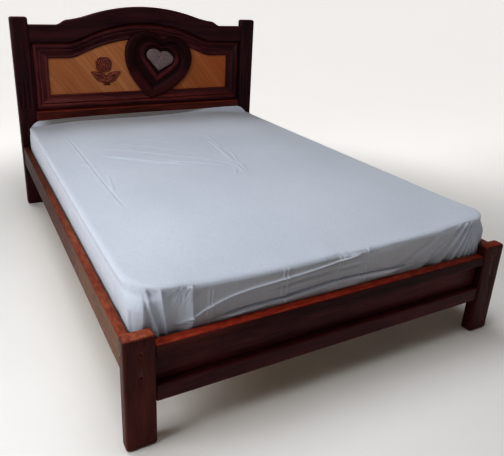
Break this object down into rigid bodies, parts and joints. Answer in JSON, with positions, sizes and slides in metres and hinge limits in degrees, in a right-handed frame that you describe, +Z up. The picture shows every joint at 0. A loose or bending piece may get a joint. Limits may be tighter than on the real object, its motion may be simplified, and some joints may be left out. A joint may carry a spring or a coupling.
{
  "type": "double bed",
  "caption": "Double bed frame in dark carved hardwood: arched headboard with pale panel, heart and rose carvings, low footboard, slats on ledgers, and a mattress in a fitted sheet.",
  "frame": {"origin": "on the floor, in the middle of the bed's outline", "axes": "+Y from the foot to the headboard, +Z up, +X to the right when looking from the foot"},
  "size_m": [1.47, 2.058, 1.119],
  "materials": {
    "dark_wood": "dark reddish-brown stain under satin lacquer",
    "panel_wood": "pale honey veneer strips laid on the slant, satin",
    "rose_wood": "carved, stained reddish brown",
    "slat_wood": "planed softwood, unfinished",
    "bolt_steel": "dark zinc-plated steel",
    "silver_leaf": "stippled wood in dull silver-grey paint",
    "mattress_ticking": "quilted off-white ticking",
    "sheet_cotton": "plain pale blue-grey cotton"
  },
  "bodies": {
    "bed_frame": {"beam_cleat_foot": "slat_wood", "beam_cleat_head": "slat_wood", "bed_bolt_foot_left": "bolt_steel", "bed_bolt_foot_right": "bolt_steel", "bed_bolt_head_left": "bolt_steel", "bed_bolt_head_right": "bolt_steel", "centre_beam": "slat_wood", "centre_leg": "slat_wood", "crest_rail": "dark_wood", "foot_bottom_rail": "dark_wood", "foot_panel": "dark_wood", "foot_peg_left_lower": "dark_wood", "foot_peg_left_upper": "dark_wood", "foot_peg_right_lower": "dark_wood", "foot_peg_right_upper": "dark_wood", "foot_post_left": "dark_wood", "foot_post_right": "dark_wood", "foot_top_rail": "dark_wood", "head_back_board": "dark_wood", "head_cross_rail": "dark_wood", "head_ledge_rail": "dark_wood", "head_panel": "panel_wood", "head_post_left": "dark_wood", "head_post_right": "dark_wood", "heart_carving": "dark_wood", "heart_inlay": "silver_leaf", "ledger_left": "slat_wood", "ledger_right": "slat_wood", "ledger_screw_left_1": "bolt_steel", "ledger_screw_left_2": "bolt_steel", "ledger_screw_left_3": "bolt_steel", "ledger_screw_right_1": "bolt_steel", "ledger_screw_right_2": "bolt_steel", "ledger_screw_right_3": "bolt_steel", "moulding_bottom": "dark_wood", "moulding_left": "dark_wood", "moulding_right": "dark_wood", "moulding_top": "dark_wood", "rose_bloom": "rose_wood", "rose_leaf_left": "rose_wood", "rose_leaf_right": "rose_wood", "rose_stem": "rose_wood", "side_rail_left": "dark_wood", "side_rail_right": "dark_wood"},
    "slat_deck": {"slat_01": "slat_wood", "slat_02": "slat_wood", "slat_03": "slat_wood", "slat_04": "slat_wood", "slat_05": "slat_wood", "slat_06": "slat_wood", "slat_07": "slat_wood", "slat_08": "slat_wood", "slat_09": "slat_wood", "slat_10": "slat_wood", "slat_11": "slat_wood", "slat_12": "slat_wood"},
    "bedding": {"mattress": "mattress_ticking", "mattress_base": "mattress_ticking", "fitted_sheet": "sheet_cotton"}
  },
  "joints": [
    {"name": "slat_lift", "type": "slide", "parent": "bed_frame", "child": "slat_deck", "axis": [0, 0, 1], "range_m": [0, 0.3]},
    {"name": "bedding_lift", "type": "slide", "parent": "slat_deck", "child": "bedding", "axis": [0, 0, 1], "range_m": [0, 0.45]}
  ]
}
